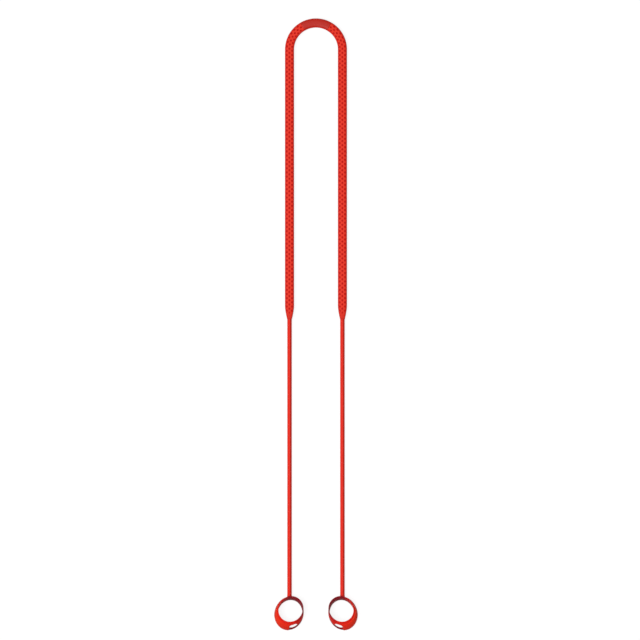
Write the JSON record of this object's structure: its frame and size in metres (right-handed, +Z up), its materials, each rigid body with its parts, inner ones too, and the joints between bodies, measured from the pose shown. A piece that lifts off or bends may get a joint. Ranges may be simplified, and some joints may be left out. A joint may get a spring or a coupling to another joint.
{
  "type": "earbud neck strap",
  "caption": "U-shaped textured silicone neck strap whose tapered ends run into thin plain cords, each carrying a skewed, flared ring that grips the body of a wireless earbud.",
  "frame": {"origin": "on the surface that the strap lies on, midway between the two arms and midway between the crown and the holders' lower edges", "axes": "+X from the left arm to the right arm, +Y from the holders to the crown of the U, +Z up from the surface"},
  "size_m": [0.0496, 0.3632, 0.0065],
  "materials": {
    "textured_silicone": "matte, with fine dimples",
    "plain_silicone": "satin",
    "smooth_silicone": "smooth satin"
  },
  "bodies": {
    "neck_band": {"sleeve_crown": "textured_silicone", "core_crown": "plain_silicone", "crown_panel": "smooth_silicone"},
    "left_arm": {"sleeve_left": "textured_silicone", "core_left": "plain_silicone"},
    "right_arm": {"sleeve_right": "textured_silicone", "core_right": "plain_silicone"},
    "left_lead": {"cord_left": "plain_silicone"},
    "right_lead": {"cord_right": "plain_silicone"},
    "left_stem": {"stem_left": "plain_silicone"},
    "right_stem": {"stem_right": "plain_silicone"},
    "left_holder": {"holder_left": "plain_silicone"},
    "right_holder": {"holder_right": "plain_silicone"}
  },
  "joints": [
    {"name": "left_arm_spread", "type": "hinge", "parent": "neck_band", "child": "left_arm", "pos_m": [-0.0157, 0.16315, 0.0022], "axis": [0, 0, -1], "range_deg": [0, 45], "stiffness_Nm_per_rad": 0.0015},
    {"name": "right_arm_spread", "type": "hinge", "parent": "neck_band", "child": "right_arm", "pos_m": [0.0157, 0.16315, 0.0022], "axis": [0, 0, 1], "range_deg": [0, 45], "stiffness_Nm_per_rad": 0.0015},
    {"name": "left_cord_fold", "type": "hinge", "parent": "left_arm", "child": "left_lead", "pos_m": [-0.0157, 0.0013, 0.0022], "axis": [-1, 0, 0], "range_deg": [-90, 90]},
    {"name": "right_cord_fold", "type": "hinge", "parent": "right_arm", "child": "right_lead", "pos_m": [0.0157, 0.0013, 0.0022], "axis": [-1, 0, 0], "range_deg": [-90, 90]},
    {"name": "left_holder_twist", "type": "hinge", "parent": "left_lead", "child": "left_stem", "pos_m": [-0.0157, -0.15855, 0.0024], "axis": [0, 1, 0], "range_deg": [-180, 180]},
    {"name": "right_holder_twist", "type": "hinge", "parent": "right_lead", "child": "right_stem", "pos_m": [0.0157, -0.15855, 0.0024], "axis": [0, 1, 0], "range_deg": [-180, 180]},
    {"name": "left_holder_tilt", "type": "hinge", "parent": "left_stem", "child": "left_holder", "pos_m": [-0.0157, -0.15985, 0.0024], "axis": [-1, 0, 0], "range_deg": [-75, 75], "stiffness_Nm_per_rad": 0.0005},
    {"name": "right_holder_tilt", "type": "hinge", "parent": "right_stem", "child": "right_holder", "pos_m": [0.0157, -0.15985, 0.0024], "axis": [-1, 0, 0], "range_deg": [-75, 75], "stiffness_Nm_per_rad": 0.0005}
  ]
}
